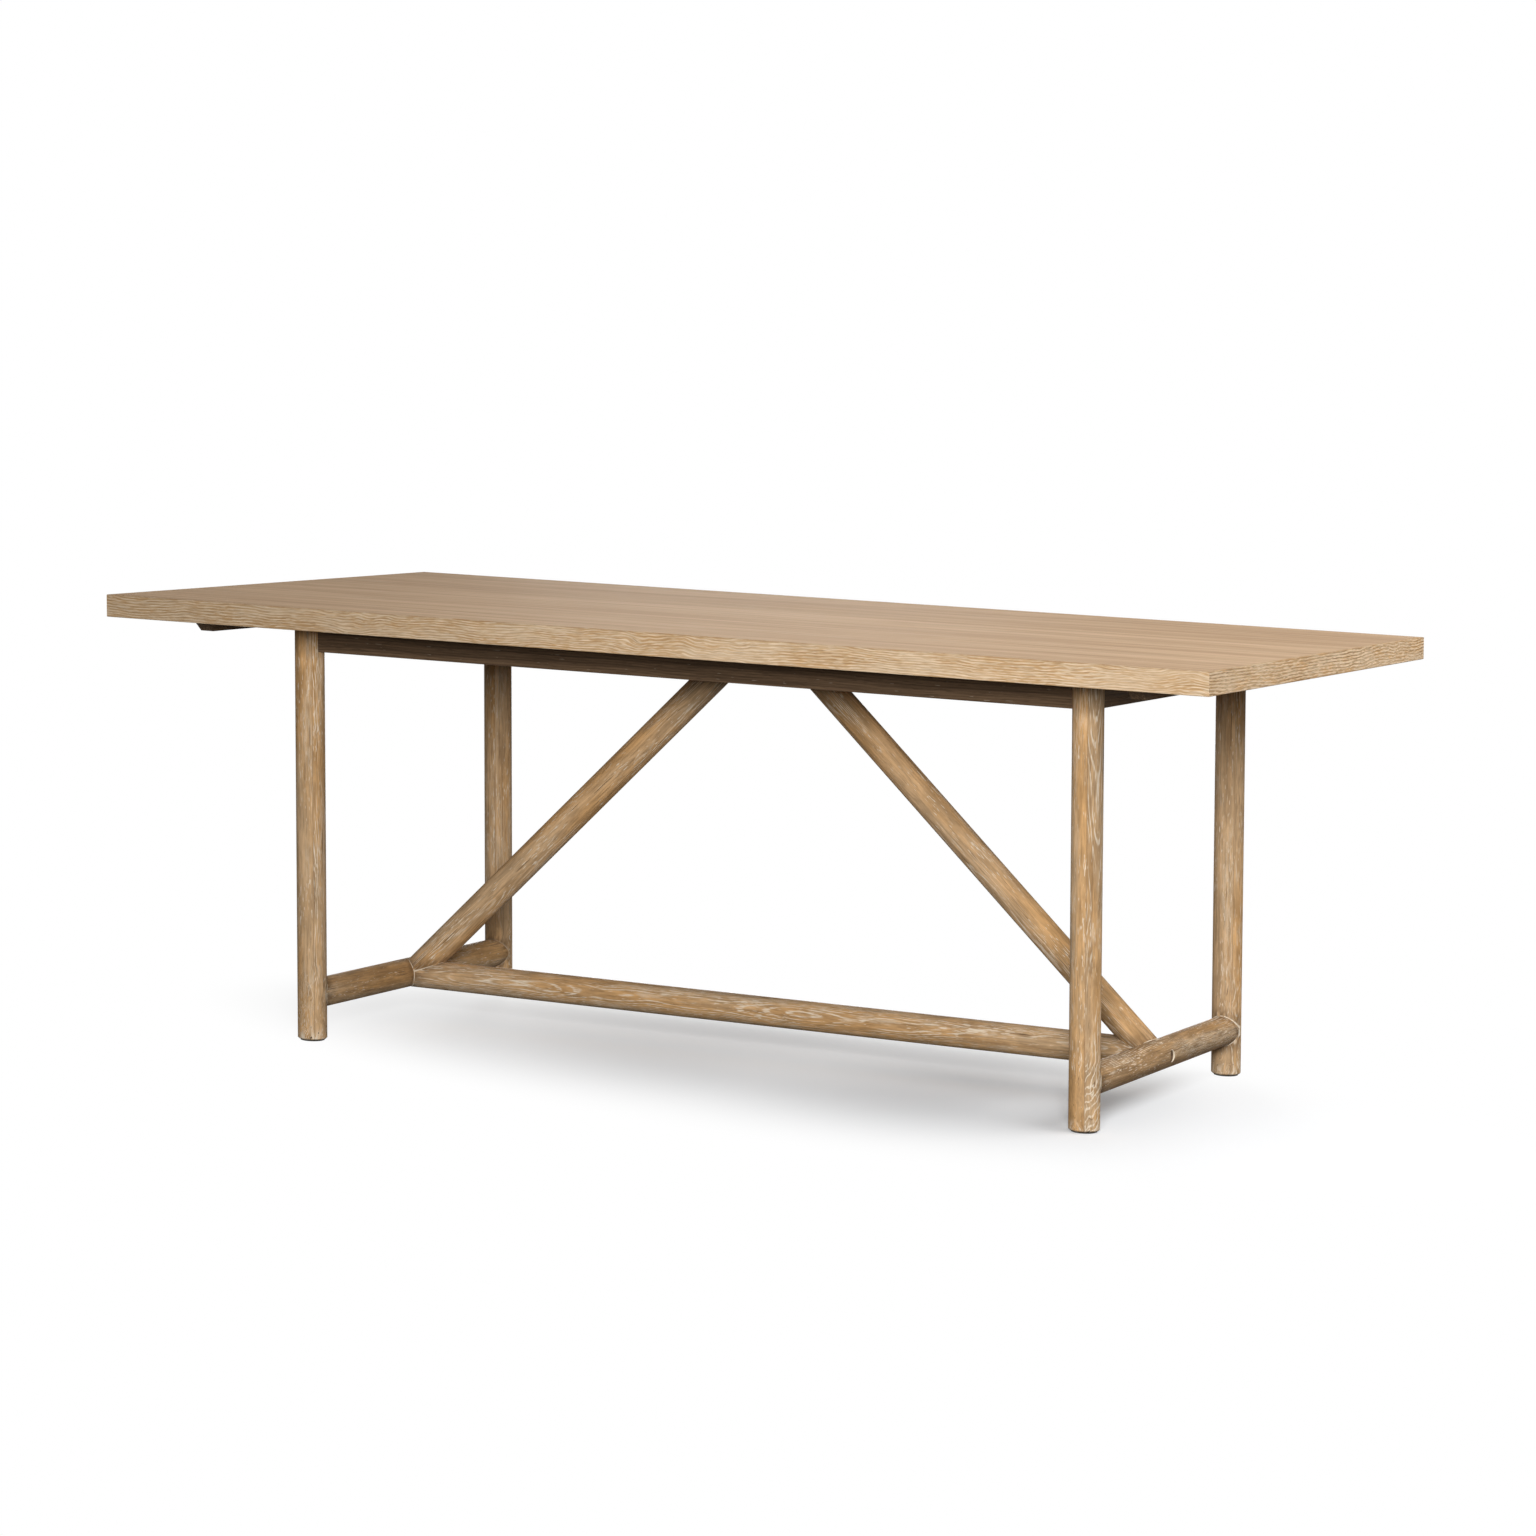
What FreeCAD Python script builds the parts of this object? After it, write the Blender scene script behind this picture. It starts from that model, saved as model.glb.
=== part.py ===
import FreeCAD, Part
import math
import os

# Trestle dining table: a faced and lipped oak top on a glued frame of round oak members.
# Millimetres. X runs along the table, Y across it and Z up. The origin is on the floor at the centre.

Vector = FreeCAD.Vector
X_AXIS = Vector(1, 0, 0)
Y_AXIS = Vector(0, 1, 0)
Z_AXIS = Vector(0, 0, 1)
ORIGIN = Vector(0, 0, 0)

# Overall sizes
table_height = 762.0
top_length = 1981.0
top_width = 1067.0
top_thickness = 38.0

# Top: a core board, a sawn oak face above and below, and mitred lippings round the edge
lipping_width = 6.0
face_thickness = 3.0
top_arris_radius = 1.4

# Legs, measured to their axes from the edges of the top
leg_diameter = 50.8
leg_inset_end = 275.5
leg_inset_side = 204.5
leg_foot_chamfer = 2.0
pad_setback = 4.4
pad_thickness = 3.0

# Round stretchers, all on one level, and the two braces that rise from them to the middle of the top
stretcher_height = 79.0
cross_stretcher_diameter = 50.8
long_stretcher_diameter = 50.8
brace_diameter = 50.8
brace_foot_inset = 13.0
brace_head_offset = 30.5
brace_toe_setback = 7.0

# Flat rails under the top
rail_height = 51.0
rail_thickness = 22.0
centre_rail_thickness = 22.0
rail_arris_radius = 1.5

# Battens across the overhanging ends, measured like the legs from the edges of the top
batten_width = 24.0
batten_thickness = 19.0
batten_bevel = 23.0
batten_inset_end = 145.5
batten_inset_side = 62.5

# Fits: the gap under a coped end, the play of a dowel, tenon or screw, and the spare depth of a blind hole
saddle_gap = 0.2
fit_gap = 0.1
bolt_play = 0.4
blind_spare = 0.5

# Dowels in the round members
stretcher_dowel_diameter = 12.0
stretcher_dowel_in_leg = 16.0
stretcher_dowel_in_stretcher = 34.0
brace_dowel_diameter = 10.0
brace_dowel_in_stretcher = 12.0
brace_dowel_in_brace = 30.0

# Loose tenons in the flat rails
tenon_thickness = 9.0
tenon_height = 32.0
tenon_in_leg = 14.0
tenon_in_rail = 28.0
centre_tenon_in_rail = 12.0
centre_tenon_in_centre = 24.0
head_tenon_width = 18.0
head_tenon_height = 8.0
head_tenon_in_brace = 24.0

# Bolts that draw the long stretcher onto the cross stretchers, each hidden by a sunk wooden plug
bolt_diameter = 8.0
bolt_head_width = 13.0
bolt_head_height = 5.5
bolt_past_nut = 6.0
washer_diameter = 17.0
washer_thickness = 1.6
plug_diameter = 20.0
plug_thickness = 5.0
plug_recess = 3.0
nut_diameter = 14.0
nut_length = 24.0
nut_setback = 40.0

# Screws that hold the top to the long rails, and the battens to the top, with their heads sunk from below
screw_sides = 6
screw_diameter = 5.0
screw_head_diameter = 10.0
screw_head_height = 3.5
screw_in_core = 20.0
rail_screw_sunk = 18.0
rail_screw_count = 4
rail_screw_end_distance = 110.0
batten_screw_sunk = 5.0
batten_screw_count = 3
batten_screw_end_distance = 90.0

# Places worked out from the sizes above
underside = table_height - top_thickness
core_bottom = underside + face_thickness
core_top = table_height - face_thickness
leg_x = top_length / 2 - leg_inset_end
leg_y = top_width / 2 - leg_inset_side
leg_radius = leg_diameter / 2
cross_radius = cross_stretcher_diameter / 2
long_radius = long_stretcher_diameter / 2
brace_radius = brace_diameter / 2
rail_half = rail_thickness / 2
centre_half = centre_rail_thickness / 2
rail_bottom = underside - rail_height
rail_middle = underside - rail_height / 2
batten_bottom = underside - batten_thickness
batten_x = top_length / 2 - batten_inset_end
batten_half = top_width / 2 - batten_inset_side
screw_tip = core_bottom + screw_in_core

brace_foot = Vector(leg_x - brace_foot_inset, 0, stretcher_height)
brace_head = Vector(brace_head_offset, 0, underside)
brace_axis = (brace_head - brace_foot).normalize()
brace_angle = math.atan2(brace_axis.z, -brace_axis.x)
brace_landing = brace_foot + brace_axis * (long_radius / math.sin(brace_angle))
head_flat = (brace_radius / math.sin(brace_angle) - brace_head_offset + centre_half) * math.tan(brace_angle)
head_tenon_level = underside - head_flat / 2

bolt_stack = plug_recess + plug_thickness + bolt_head_height + washer_thickness
bolt_seat_x = leg_x + cross_radius - bolt_stack
nut_x = leg_x - cross_radius - nut_setback
bolt_tip_x = nut_x - nut_diameter / 2 - bolt_past_nut


def rod(start, end, diameter):
    """A round bar between two points."""
    run = end - start
    return Part.makeCylinder(diameter / 2, run.Length, start, run)


def block(low, high):
    """A box between two corners."""
    return Part.makeBox(high.x - low.x, high.y - low.y, high.z - low.z, low)


def closed_face(edges):
    return Part.Face(Part.Wire(edges))


def polygon_face(points):
    return Part.Face(Part.makePolygon(points + points[:1]))


def ring_points(diameter, sides):
    """The corners of a regular polygon about the upright axis."""
    angles = [2 * math.pi * side / sides for side in range(sides)]
    return [Vector(diameter / 2 * math.cos(angle), diameter / 2 * math.sin(angle), 0) for angle in angles]


def turned(shape, degrees):
    """A copy turned about the table's upright axis."""
    copy = shape.copy()
    copy.rotate(ORIGIN, Z_AXIS, degrees)
    return copy


def moved(shape, offset):
    copy = shape.copy()
    copy.translate(offset)
    return copy


def mirrored_x(shape):
    return shape.mirror(ORIGIN, X_AXIS)


def mirrored_y(shape):
    return shape.mirror(ORIGIN, Y_AXIS)


def both_ends(shape):
    return [mirrored_x(shape), shape]


def all_corners(shape):
    return both_ends(shape) + both_ends(mirrored_y(shape))


def largest(shape):
    """The main solid of a cut, without the offcuts beyond a saddle."""
    return max(shape.Solids, key=lambda solid: solid.Volume)


def without(shape, cutters):
    return largest(shape.cut(Part.makeCompound(cutters)))


def spaced(half_span, count):
    """Evenly spaced places from one end of a span to the other."""
    step = 2 * half_span / (count - 1)
    return [step * index - half_span for index in range(count)]


# Top

def lipping(run, offset):
    """An edge strip along the side at -Y: rounded on both outer arrises and mitred at both ends."""
    half = run / 2
    inner = lipping_width - offset
    low, high, radius = underside, table_height, top_arris_radius
    bevel = radius * (1 - math.sqrt(0.5))
    start = [Vector(-half, inner, low), Vector(-half, radius - offset, low), Vector(-half, -offset, low + radius),
             Vector(-half, -offset, high - radius), Vector(-half, radius - offset, high), Vector(-half, inner, high)]
    lower_mid = Vector(-half, bevel - offset, low + bevel)
    upper_mid = Vector(-half, bevel - offset, high - bevel)
    section = closed_face([
        Part.makeLine(start[0], start[1]),
        Part.Arc(start[1], lower_mid, start[2]).toShape(),
        Part.makeLine(start[2], start[3]),
        Part.Arc(start[3], upper_mid, start[4]).toShape(),
        Part.makeLine(start[4], start[5]),
        Part.makeLine(start[5], start[0]),
    ])
    strip = section.extrude(X_AXIS * run)
    plan = polygon_face([
        Vector(-half, -offset, low), Vector(half, -offset, low),
        Vector(half - lipping_width, inner, low), Vector(lipping_width - half, inner, low),
    ])
    return largest(strip.common(plan.extrude(Z_AXIS * top_thickness)))


def panel(low_z, high_z):
    """A layer of the top inside the lippings."""
    reach_x = top_length / 2 - lipping_width
    reach_y = top_width / 2 - lipping_width
    return block(Vector(-reach_x, -reach_y, low_z), Vector(reach_x, reach_y, high_z))


def screw_stem(x, y, low_z, high_z, diameter):
    """One step of a screw or of its hole, with few sides because many screws are alike and hidden."""
    outline = moved(polygon_face(ring_points(diameter, screw_sides)), Vector(x, y, low_z))
    return outline.extrude(Z_AXIS * (high_z - low_z))


def screw_bores(places, low_z, high_z):
    diameter = screw_diameter + 2 * fit_gap
    return [screw_stem(x, y, low_z, high_z, diameter) for x, y in places]


def sunk_bores(places, low_z, sunk):
    """A counterbore from below and a through hole at each screw of a rail or a batten."""
    head_hole = screw_head_diameter + 2 * fit_gap
    heads = [screw_stem(x, y, low_z, low_z + sunk, head_hole) for x, y in places]
    return heads + screw_bores(places, low_z + sunk, underside)


def sunk_screw(x, y, seat):
    """A screw whose head seats at the end of its counterbore, with its tip in the core."""
    head = screw_stem(x, y, seat - screw_head_height, seat, screw_head_diameter)
    return largest(head.fuse(screw_stem(x, y, seat, screw_tip, screw_diameter)).removeSplitter())


# Round members and their joints

def leg_round(play):
    """The front right leg's full round, with play all round it for a saddle."""
    diameter = leg_diameter + 2 * play
    return rod(Vector(leg_x, -leg_y, pad_thickness), Vector(leg_x, -leg_y, underside), diameter)


def cross_round(play):
    diameter = cross_stretcher_diameter + 2 * play
    return rod(Vector(leg_x, -leg_y, stretcher_height), Vector(leg_x, leg_y, stretcher_height), diameter)


def long_round(play):
    diameter = long_stretcher_diameter + 2 * play
    return rod(Vector(-leg_x, 0, stretcher_height), Vector(leg_x, 0, stretcher_height), diameter)


def stretcher_dowel(play, spare):
    """The dowel between the front right leg and its cross stretcher."""
    face = leg_radius - leg_y
    start = Vector(leg_x, face - stretcher_dowel_in_leg - spare, stretcher_height)
    end = Vector(leg_x, face + stretcher_dowel_in_stretcher + spare, stretcher_height)
    return rod(start, end, stretcher_dowel_diameter + 2 * play)


def brace_foot_dowel(play, spare):
    """The dowel on the brace's axis that pins its foot to the long stretcher."""
    start = brace_landing - brace_axis * (brace_dowel_in_stretcher + spare)
    end = brace_landing + brace_axis * (brace_dowel_in_brace + spare)
    return rod(start, end, brace_dowel_diameter + 2 * play)


def front_rail_tenon(play, spare):
    """The loose tenon between the front rail and the front right leg."""
    face = leg_x - leg_radius
    across = tenon_thickness / 2 + play
    up = tenon_height / 2 + play
    return block(Vector(face - tenon_in_rail - spare, -leg_y - across, rail_middle - up),
                 Vector(face + tenon_in_leg + spare, across - leg_y, rail_middle + up))


def end_rail_tenon(play, spare):
    """The loose tenon between the right end rail and the front right leg."""
    face = leg_radius - leg_y
    across = tenon_thickness / 2 + play
    up = tenon_height / 2 + play
    return block(Vector(leg_x - across, face - tenon_in_leg - spare, rail_middle - up),
                 Vector(leg_x + across, face + tenon_in_rail + spare, rail_middle + up))


def centre_rail_tenon(play, spare):
    """The loose tenon between the front rail and the centre rail."""
    face = rail_half - leg_y
    across = tenon_thickness / 2 + play
    up = tenon_height / 2 + play
    return block(Vector(-across, face - centre_tenon_in_rail - spare, rail_middle - up),
                 Vector(across, face + centre_tenon_in_centre + spare, rail_middle + up))


def brace_head_tenon(play, spare):
    """The loose tenon that runs through the centre rail into both brace heads."""
    along = centre_half + head_tenon_in_brace + spare
    across = head_tenon_width / 2 + play
    up = head_tenon_height / 2 + play
    return block(Vector(-along, -across, head_tenon_level - up), Vector(along, across, head_tenon_level + up))


def foot_pad():
    """The felt pad under the front right leg."""
    diameter = leg_diameter - 2 * pad_setback
    return rod(Vector(leg_x, -leg_y, 0), Vector(leg_x, -leg_y, pad_thickness), diameter)


def front_right_leg():
    """A round leg with an eased foot, mortised for its rails and bored for its stretcher."""
    post = leg_round(0)
    foot_rim = [edge for edge in post.Edges if edge.BoundBox.ZMax < pad_thickness + leg_foot_chamfer]
    eased = post.makeChamfer(leg_foot_chamfer, foot_rim)
    joints = (front_rail_tenon, end_rail_tenon, stretcher_dowel)
    return without(eased, [joint(fit_gap, blind_spare) for joint in joints])


def bolt_hole():
    """The clearance hole for the right bolt, through the cross stretcher and into the long one."""
    start = Vector(bolt_tip_x - blind_spare, 0, stretcher_height)
    end = Vector(bolt_seat_x, 0, stretcher_height)
    return rod(start, end, bolt_diameter + 2 * bolt_play)


def plug_hole():
    start = Vector(bolt_seat_x, 0, stretcher_height)
    end = Vector(leg_x + 2 * cross_radius, 0, stretcher_height)
    return rod(start, end, plug_diameter + 2 * fit_gap)


def nut_hole():
    """The hole for the right barrel nut, bored up into the long stretcher from below."""
    start = Vector(nut_x, 0, stretcher_height - 2 * long_radius)
    end = Vector(nut_x, 0, stretcher_height + nut_length / 2 + blind_spare)
    return rod(start, end, nut_diameter + 2 * fit_gap)


def right_cross_stretcher():
    """A round stretcher coped onto both legs, with the sunk bolt hole in its outer side."""
    leg_saddle = leg_round(saddle_gap)
    dowel_bore = stretcher_dowel(fit_gap, blind_spare)
    cutters = [leg_saddle, mirrored_y(leg_saddle), dowel_bore, mirrored_y(dowel_bore), bolt_hole(), plug_hole()]
    return without(cross_round(0), cutters)


def long_stretcher():
    """The middle stretcher, coped onto both cross stretchers and bored for bolts, nuts and brace dowels."""
    cutters = []
    for bore in (cross_round(saddle_gap), bolt_hole(), nut_hole(), brace_foot_dowel(fit_gap, blind_spare)):
        cutters += both_ends(bore)
    return without(long_round(0), cutters)


def right_brace():
    """A diagonal round whose foot saddles both stretchers and whose head meets the centre rail and the top."""
    spare = brace_axis * (2 * brace_diameter)
    bar = rod(brace_foot - spare, brace_head + spare, brace_diameter)
    reach = Vector(leg_x - brace_toe_setback, brace_diameter, underside)
    space = block(Vector(centre_half, -brace_diameter, stretcher_height), reach)
    cutters = [cross_round(saddle_gap), long_round(saddle_gap)]
    cutters += [brace_foot_dowel(fit_gap, blind_spare), brace_head_tenon(fit_gap, blind_spare)]
    return without(bar.common(space), cutters)


# Bolts, washers, nuts and plugs

def right_bolt():
    """A hexagon bolt along the long stretcher's axis."""
    head_start = Vector(bolt_seat_x + washer_thickness, 0, stretcher_height)
    hexagon = polygon_face(ring_points(bolt_head_width / math.cos(math.pi / 6), 6))
    hexagon.rotate(ORIGIN, Y_AXIS, 90)
    head = moved(hexagon.extrude(X_AXIS * bolt_head_height), head_start)
    shank = rod(Vector(bolt_tip_x, 0, stretcher_height), head_start, bolt_diameter)
    return largest(head.fuse(shank).removeSplitter())


def right_washer():
    start = Vector(bolt_seat_x, 0, stretcher_height)
    end = Vector(bolt_seat_x + washer_thickness, 0, stretcher_height)
    return without(rod(start, end, washer_diameter), [rod(start, end, bolt_diameter + 2 * fit_gap)])


def right_nut():
    half = Vector(0, 0, nut_length / 2)
    centre = Vector(nut_x, 0, stretcher_height)
    across = X_AXIS * nut_diameter
    return without(rod(centre - half, centre + half, nut_diameter),
                   [rod(centre - across, centre + across, bolt_diameter + 2 * fit_gap)])


def right_plug():
    start = bolt_seat_x + washer_thickness + bolt_head_height
    return rod(Vector(start, 0, stretcher_height), Vector(start + plug_thickness, 0, stretcher_height), plug_diameter)


# Rails and battens

def rail_bar(run, thickness):
    """A flat rail along X under the top, with its two lower arrises rounded."""
    half, side, radius = run / 2, thickness / 2, rail_arris_radius
    bevel = radius * (1 - math.sqrt(0.5))
    near_low = Vector(-half, radius - side, rail_bottom)
    far_low = Vector(-half, side - radius, rail_bottom)
    near_side = Vector(-half, -side, rail_bottom + radius)
    far_side = Vector(-half, side, rail_bottom + radius)
    near_top = Vector(-half, -side, underside)
    far_top = Vector(-half, side, underside)
    section = closed_face([
        Part.makeLine(near_low, far_low),
        Part.Arc(far_low, Vector(-half, side - bevel, rail_bottom + bevel), far_side).toShape(),
        Part.makeLine(far_side, far_top),
        Part.makeLine(far_top, near_top),
        Part.makeLine(near_top, near_side),
        Part.Arc(near_side, Vector(-half, bevel - side, rail_bottom + bevel), near_low).toShape(),
    ])
    return section.extrude(X_AXIS * run)


def front_rail():
    bar = moved(rail_bar(2 * leg_x, rail_thickness), Vector(0, -leg_y, 0))
    cutters = both_ends(leg_round(saddle_gap)) + both_ends(front_rail_tenon(fit_gap, blind_spare))
    cutters += sunk_bores(front_rail_screws, rail_bottom, rail_screw_sunk)
    return without(bar, cutters + [centre_rail_tenon(fit_gap, blind_spare)])


def right_end_rail():
    bar = moved(turned(rail_bar(2 * leg_y, rail_thickness), 90), Vector(leg_x, 0, 0))
    cutters = [leg_round(saddle_gap), end_rail_tenon(fit_gap, blind_spare)]
    return without(bar, cutters + [mirrored_y(cutter) for cutter in cutters])


def centre_rail():
    """The rail across the middle, butted between the long rails, that takes both brace heads."""
    bar = turned(rail_bar(2 * (leg_y - rail_half), centre_rail_thickness), 90)
    end_mortise = centre_rail_tenon(fit_gap, blind_spare)
    return without(bar, [brace_head_tenon(fit_gap, blind_spare), end_mortise, mirrored_y(end_mortise)])


def right_batten():
    """A strip under the overhang, bevelled back at both lower ends."""
    near_x = batten_x - batten_width / 2
    side = polygon_face([
        Vector(near_x, -batten_half, underside), Vector(near_x, batten_bevel - batten_half, batten_bottom),
        Vector(near_x, batten_half - batten_bevel, batten_bottom), Vector(near_x, batten_half, underside),
    ])
    return without(side.extrude(X_AXIS * batten_width),
                   sunk_bores(right_batten_screws, batten_bottom, batten_screw_sunk))


# Screw places
front_rail_screws = [(x, -leg_y) for x in spaced(leg_x - rail_screw_end_distance, rail_screw_count)]
rail_screw_places = front_rail_screws + [(x, -y) for x, y in front_rail_screws]
right_batten_screws = [(batten_x, y) for y in spaced(batten_half - batten_screw_end_distance, batten_screw_count)]
batten_screw_places = right_batten_screws + [(-x, y) for x, y in right_batten_screws]
screw_places = rail_screw_places + batten_screw_places

# Single pieces
front_lipping = lipping(top_length, top_width / 2)
end_lipping = lipping(top_width, top_length / 2)
leg = front_right_leg()
cross_stretcher = right_cross_stretcher()
brace = right_brace()
rail = front_rail()
end_rail = right_end_rail()
batten = right_batten()

pieces = {
    "top_core": without(panel(core_bottom, core_top), screw_bores(screw_places, core_bottom, screw_tip + blind_spare)),
    "upper_face": panel(core_top, table_height),
    "lower_face": without(panel(underside, core_bottom), screw_bores(screw_places, underside, core_bottom)),
    "front_lipping": front_lipping,
    "right_lipping": turned(end_lipping, 90),
    "back_lipping": turned(front_lipping, 180),
    "left_lipping": turned(end_lipping, 270),
    "front_left_leg": mirrored_x(leg),
    "front_right_leg": leg,
    "back_left_leg": mirrored_x(mirrored_y(leg)),
    "back_right_leg": mirrored_y(leg),
    "left_cross_stretcher": mirrored_x(cross_stretcher),
    "right_cross_stretcher": cross_stretcher,
    "long_stretcher": long_stretcher(),
    "left_brace": mirrored_x(brace),
    "right_brace": brace,
    "front_rail": rail,
    "back_rail": mirrored_y(rail),
    "left_end_rail": mirrored_x(end_rail),
    "right_end_rail": end_rail,
    "centre_rail": centre_rail(),
    "left_batten": mirrored_x(batten),
    "right_batten": batten,
    "brace_head_tenon": brace_head_tenon(0, 0),
}

# Groups of like small pieces
centre_tenon = centre_rail_tenon(0, 0)
rail_screw_seat = rail_bottom + rail_screw_sunk
batten_screw_seat = batten_bottom + batten_screw_sunk
groups = {
    "foot_pads": all_corners(foot_pad()),
    "stretcher_dowels": all_corners(stretcher_dowel(0, 0)),
    "brace_foot_dowels": both_ends(brace_foot_dowel(0, 0)),
    "long_rail_tenons": all_corners(front_rail_tenon(0, 0)),
    "end_rail_tenons": all_corners(end_rail_tenon(0, 0)),
    "centre_rail_tenons": [centre_tenon, mirrored_y(centre_tenon)],
    "stretcher_bolts": both_ends(right_bolt()),
    "bolt_washers": both_ends(right_washer()),
    "barrel_nuts": both_ends(right_nut()),
    "bolt_plugs": both_ends(right_plug()),
    "rail_screws": [sunk_screw(x, y, rail_screw_seat) for x, y in rail_screw_places],
    "batten_screws": [sunk_screw(x, y, batten_screw_seat) for x, y in batten_screw_places],
}

os.makedirs("parts", exist_ok=True)
for name, solid in pieces.items():
    solid.exportStep(f"parts/{name}.step")
for name, solids in groups.items():
    Part.makeCompound(solids).exportStep(f"parts/{name}.step")
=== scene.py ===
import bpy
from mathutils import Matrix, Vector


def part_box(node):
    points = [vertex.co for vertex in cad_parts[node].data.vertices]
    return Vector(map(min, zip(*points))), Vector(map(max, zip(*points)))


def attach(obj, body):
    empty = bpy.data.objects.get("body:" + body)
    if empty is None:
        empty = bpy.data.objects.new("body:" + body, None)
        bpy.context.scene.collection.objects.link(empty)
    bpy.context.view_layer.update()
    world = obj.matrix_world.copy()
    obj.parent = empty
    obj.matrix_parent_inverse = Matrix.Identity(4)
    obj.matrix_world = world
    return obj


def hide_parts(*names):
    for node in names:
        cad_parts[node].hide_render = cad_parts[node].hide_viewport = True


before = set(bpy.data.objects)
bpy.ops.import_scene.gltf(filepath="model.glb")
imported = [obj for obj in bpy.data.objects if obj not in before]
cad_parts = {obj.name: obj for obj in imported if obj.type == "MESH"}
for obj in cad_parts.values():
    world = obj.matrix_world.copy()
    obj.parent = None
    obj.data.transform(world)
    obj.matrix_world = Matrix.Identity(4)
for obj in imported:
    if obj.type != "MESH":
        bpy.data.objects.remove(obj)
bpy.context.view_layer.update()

import math
from typing import NamedTuple

import bmesh
import bpy
from bpy.props import FloatProperty, FloatVectorProperty, IntProperty, PointerProperty
from bpy.types import Operator, Panel, PropertyGroup
from mathutils import Matrix, Vector

bl_info = {
    "name": "Trestle Table",
    "version": (1, 0, 0),
    "blender": (4, 5, 0),
    "location": "View3D > Sidebar > Trestle Table",
    "description": "Finishes a whitewashed oak trestle table and sets it on a plain studio floor",
    "category": "Object",
}

BODY = "root"
X_AXIS = Vector((1, 0, 0))
Y_AXIS = Vector((0, 1, 0))
Z_AXIS = Vector((0, 0, 1))
WHITE = (1, 1, 1, 1)


# Places read from the frame

def middle(node):
    low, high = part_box(node)
    return (low + high) / 2


def half_size(node):
    low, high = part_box(node)
    return (high - low) / 2


leg_place = middle("front_right_leg")
leg_radius = half_size("front_right_leg").x
cross_place = middle("right_cross_stretcher")
cross_radius = half_size("right_cross_stretcher").x
long_radius = half_size("long_stretcher").y
brace_radius = half_size("right_brace").y
plug_radius = half_size("bolt_plugs").y
stretcher_level = cross_place.z
top_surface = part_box("upper_face")[1].z


# Settings that the user can change

def a_colour(label, words, value):
    """A colour in scene linear red, green and blue."""
    return FloatVectorProperty(name=label, description=words, subtype="COLOR", size=3, min=0, max=1,
                               default=value)


def a_length(label, words, value):
    return FloatProperty(name=label, description=words, subtype="DISTANCE", unit="LENGTH", min=0,
                         default=value)


def a_share(label, words, value):
    return FloatProperty(name=label, description=words, subtype="FACTOR", min=0, max=1, default=value)


def a_power(label, words, value):
    return FloatProperty(name=label, description=words, subtype="POWER", unit="POWER", min=0, default=value)


def an_angle(label, words, value):
    return FloatProperty(name=label, description=words, subtype="ANGLE", unit="ROTATION", default=value)


class OakFinishSettings(PropertyGroup):
    """Colours and grain sizes of the whitewashed oak."""
    top_light: a_colour("Top, light", "Pale wood of the table's face", (0.605, 0.425, 0.272))
    top_dark: a_colour("Top, dark", "Darker streaks of the table's face", (0.405, 0.263, 0.155))
    edge_light: a_colour("Edge, light", "Limed streaks of the brushed edge", (0.725, 0.570, 0.400))
    edge_middle: a_colour("Edge, middle", "Body of the brushed edge", (0.495, 0.298, 0.137))
    edge_dark: a_colour("Edge, dark", "Deep grain of the brushed edge", (0.240, 0.140, 0.065))
    round_gold: a_colour("Rounds, gold", "Golden wood of the round bars", (0.588, 0.342, 0.148))
    round_pale: a_colour("Rounds, pale", "Pale, washed wood of the round bars", (0.592, 0.395, 0.222))
    round_brown: a_colour("Rounds, brown", "Brown streaks of the round bars", (0.330, 0.195, 0.095))
    # Also the painted shade with dirt beside the joints of the round bars
    round_dark: a_colour("Rounds, dark", "Dirt, cracks and open pores", (0.095, 0.055, 0.028))
    limewash: a_colour("Limewash", "White wash left in pores and joints", (0.860, 0.735, 0.570))
    # Rail colours: the wood's tone, darkened in part as painted shade under the top
    rail_light: a_colour("Rails, light", "Stained wood of rails and battens", (0.205, 0.130, 0.075))
    rail_dark: a_colour("Rails, dark", "Dark grain of rails and battens", (0.074, 0.045, 0.026))
    ring_spacing: a_length("Ring spacing", "Distance from one growth ring to the next", 0.0015)
    ring_wander: a_length("Ring wander", "How far the growth rings wander along a bar", 0.020)
    pore_width: a_length("Pore width", "Width of one open pore", 0.0012)
    pore_length: a_length("Pore length", "Length of one open pore", 0.024)
    wash_share: a_share("Wash", "How much of the round bars the wash still covers", 0.45)


class HardwareSettings(PropertyGroup):
    """Colours of the pieces that are not oak, and the forms of the felt pads and screws."""
    zinc: a_colour("Zinc", "Bright zinc of bolts, washers, nuts and screws", (0.55, 0.56, 0.57))
    beech: a_colour("Beech", "Raw beech of dowels and tenons", (0.56, 0.36, 0.21))
    core: a_colour("Core", "Raw core board of the top", (0.50, 0.34, 0.19))
    felt: a_colour("Felt", "Pressed felt under the feet", (0.035, 0.029, 0.024))
    pad_edge: a_length("Pad edge", "Rounding of a felt pad's rim", 0.0012)
    pad_sides: IntProperty(name="Pad sides", description="Points round a felt pad", min=12, default=56)
    screw_head: a_length("Screw head", "Diameter of a screw's pan head", 0.0086)
    screw_head_height: a_length("Screw head height", "Height of a screw's pan head", 0.0035)
    screw_core: a_length("Screw core", "Diameter of a screw under its thread", 0.0032)
    screw_thread: a_length("Screw thread", "Diameter of a screw over its thread", 0.0043)
    screw_pitch: a_length("Screw pitch", "Distance from one thread to the next", 0.0018)
    recess_reach: a_length("Recess reach", "Length of a recess arm from the head's middle", 0.0024)
    recess_width: a_length("Recess width", "Arm width of a screw's cross recess", 0.0011)
    recess_depth: a_length("Recess depth", "Depth of a screw's cross recess", 0.0016)


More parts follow.
